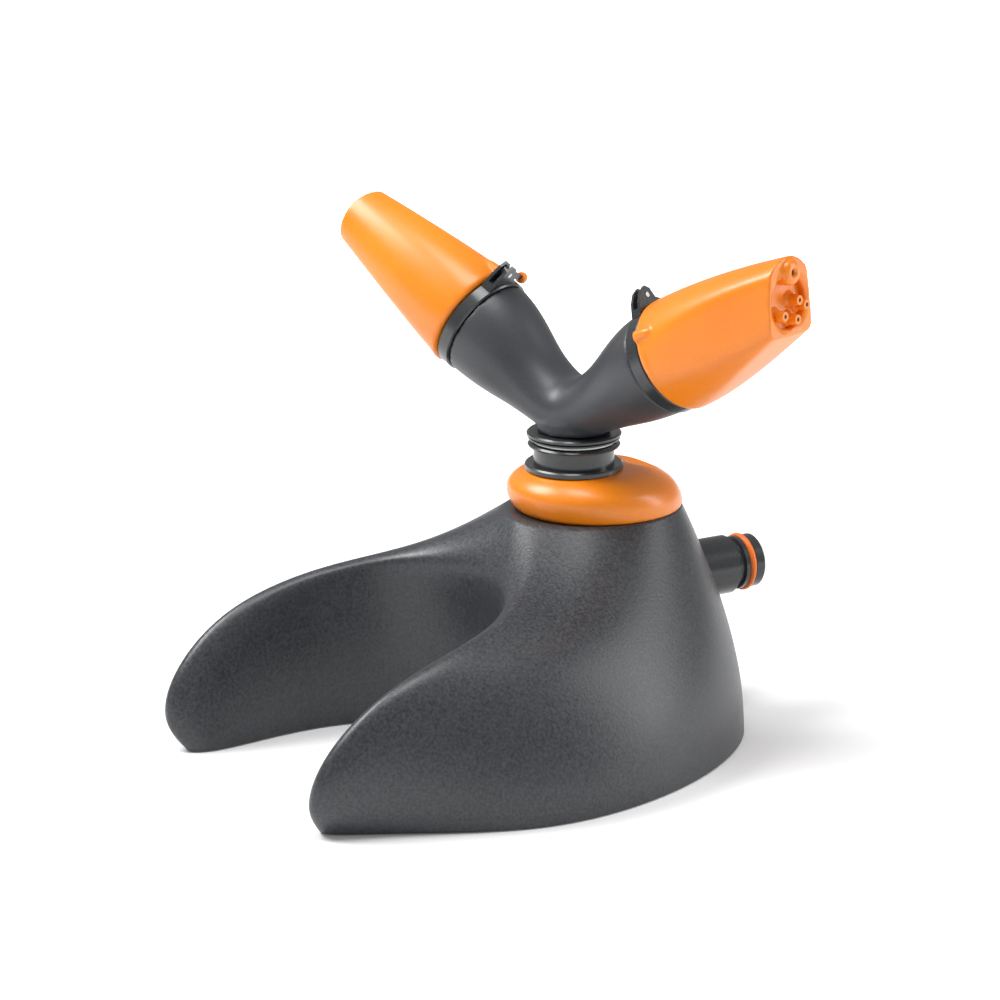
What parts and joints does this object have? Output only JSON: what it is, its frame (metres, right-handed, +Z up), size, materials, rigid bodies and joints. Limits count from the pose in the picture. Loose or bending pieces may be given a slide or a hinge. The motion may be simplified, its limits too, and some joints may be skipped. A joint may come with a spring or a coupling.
{
  "type": "rotating lawn sprinkler",
  "caption": "Free-spinning lawn sprinkler: hollow horseshoe base, V-shaped rotor with turnable spray heads and a rear hose connector.",
  "frame": {"origin": "on the ground under the rotor's spin axis", "axes": "+Z up along the spin axis, +Y out of the hose inlet at the rear, the base's two legs point to -Y"},
  "size_m": [0.1481, 0.1732, 0.1522],
  "materials": {
    "base_plastic": "fine grained dark grey moulding",
    "rotor_plastic": "satin dark grey moulding",
    "orange_plastic": "satin orange moulding",
    "black_plastic": "satin black moulding",
    "grey_plastic": "plain light grey moulding",
    "white_plastic": "low friction washer plastic",
    "steel": "stainless",
    "seal_rubber": "black sealing rubber",
    "orange_rubber": "orange sealing rubber"
  },
  "bodies": {
    "base": {"base_shell": "base_plastic", "base_plate": "base_plastic", "plate_screws": "steel", "top_cap": "orange_plastic", "cap_screws": "steel", "bearing_housing": "black_plastic", "shaft_seal": "seal_rubber", "water_duct": "grey_plastic", "inlet_washer": "seal_rubber", "hose_connector": "black_plastic", "connector_oring": "orange_rubber"},
    "rotor": {"rotor_arms": "rotor_plastic", "hub_collar": "black_plastic", "rotor_shaft": "grey_plastic", "shaft_clip": "steel", "thrust_washer": "white_plastic", "spigot_right": "black_plastic", "lock_ring_right": "black_plastic", "spigot_seal_right": "seal_rubber", "spigot_clip_right": "steel", "latch_pin_right": "steel", "spigot_left": "black_plastic", "lock_ring_left": "black_plastic", "spigot_seal_left": "seal_rubber", "spigot_clip_left": "steel", "latch_pin_left": "steel"},
    "head_right": {"head_shell_right": "orange_plastic", "head_sleeve_right": "grey_plastic", "jet_plate_right": "orange_plastic"},
    "head_left": {"head_shell_left": "orange_plastic", "head_sleeve_left": "grey_plastic", "jet_plate_left": "orange_plastic"},
    "latch_right": {"latch_right": "black_plastic", "latch_tip_right": "orange_plastic"},
    "latch_left": {"latch_left": "black_plastic", "latch_tip_left": "orange_plastic"}
  },
  "joints": [
    {"name": "rotor_spin", "type": "hinge", "parent": "base", "child": "rotor", "pos_m": [0, 0, 0.087], "axis": [0, 0, 1], "continuous": true},
    {"name": "head_turn_right", "type": "hinge", "parent": "rotor", "child": "head_right", "pos_m": [0.03026, 0.01101, 0.1156], "axis": [0.8187, 0.298, 0.4909], "range_deg": [-158, 158]},
    {"name": "latch_swing_right", "type": "hinge", "parent": "rotor", "child": "latch_right", "pos_m": [0.02351, 0.00802, 0.13326], "axis": [0.8187, 0.298, 0.4909], "range_deg": [0, 25], "stiffness_Nm_per_rad": 0.002, "springref_deg": -17.19},
    {"name": "head_turn_left", "type": "hinge", "parent": "rotor", "child": "head_left", "pos_m": [-0.03026, -0.01101, 0.1156], "axis": [-0.8187, -0.298, 0.4909], "range_deg": [-103, 213]},
    {"name": "latch_swing_left", "type": "hinge", "parent": "rotor", "child": "latch_left", "pos_m": [-0.02316, -0.00896, 0.13326], "axis": [0.8187, 0.298, -0.4909], "range_deg": [0, 25], "stiffness_Nm_per_rad": 0.002, "springref_deg": -17.19}
  ]
}
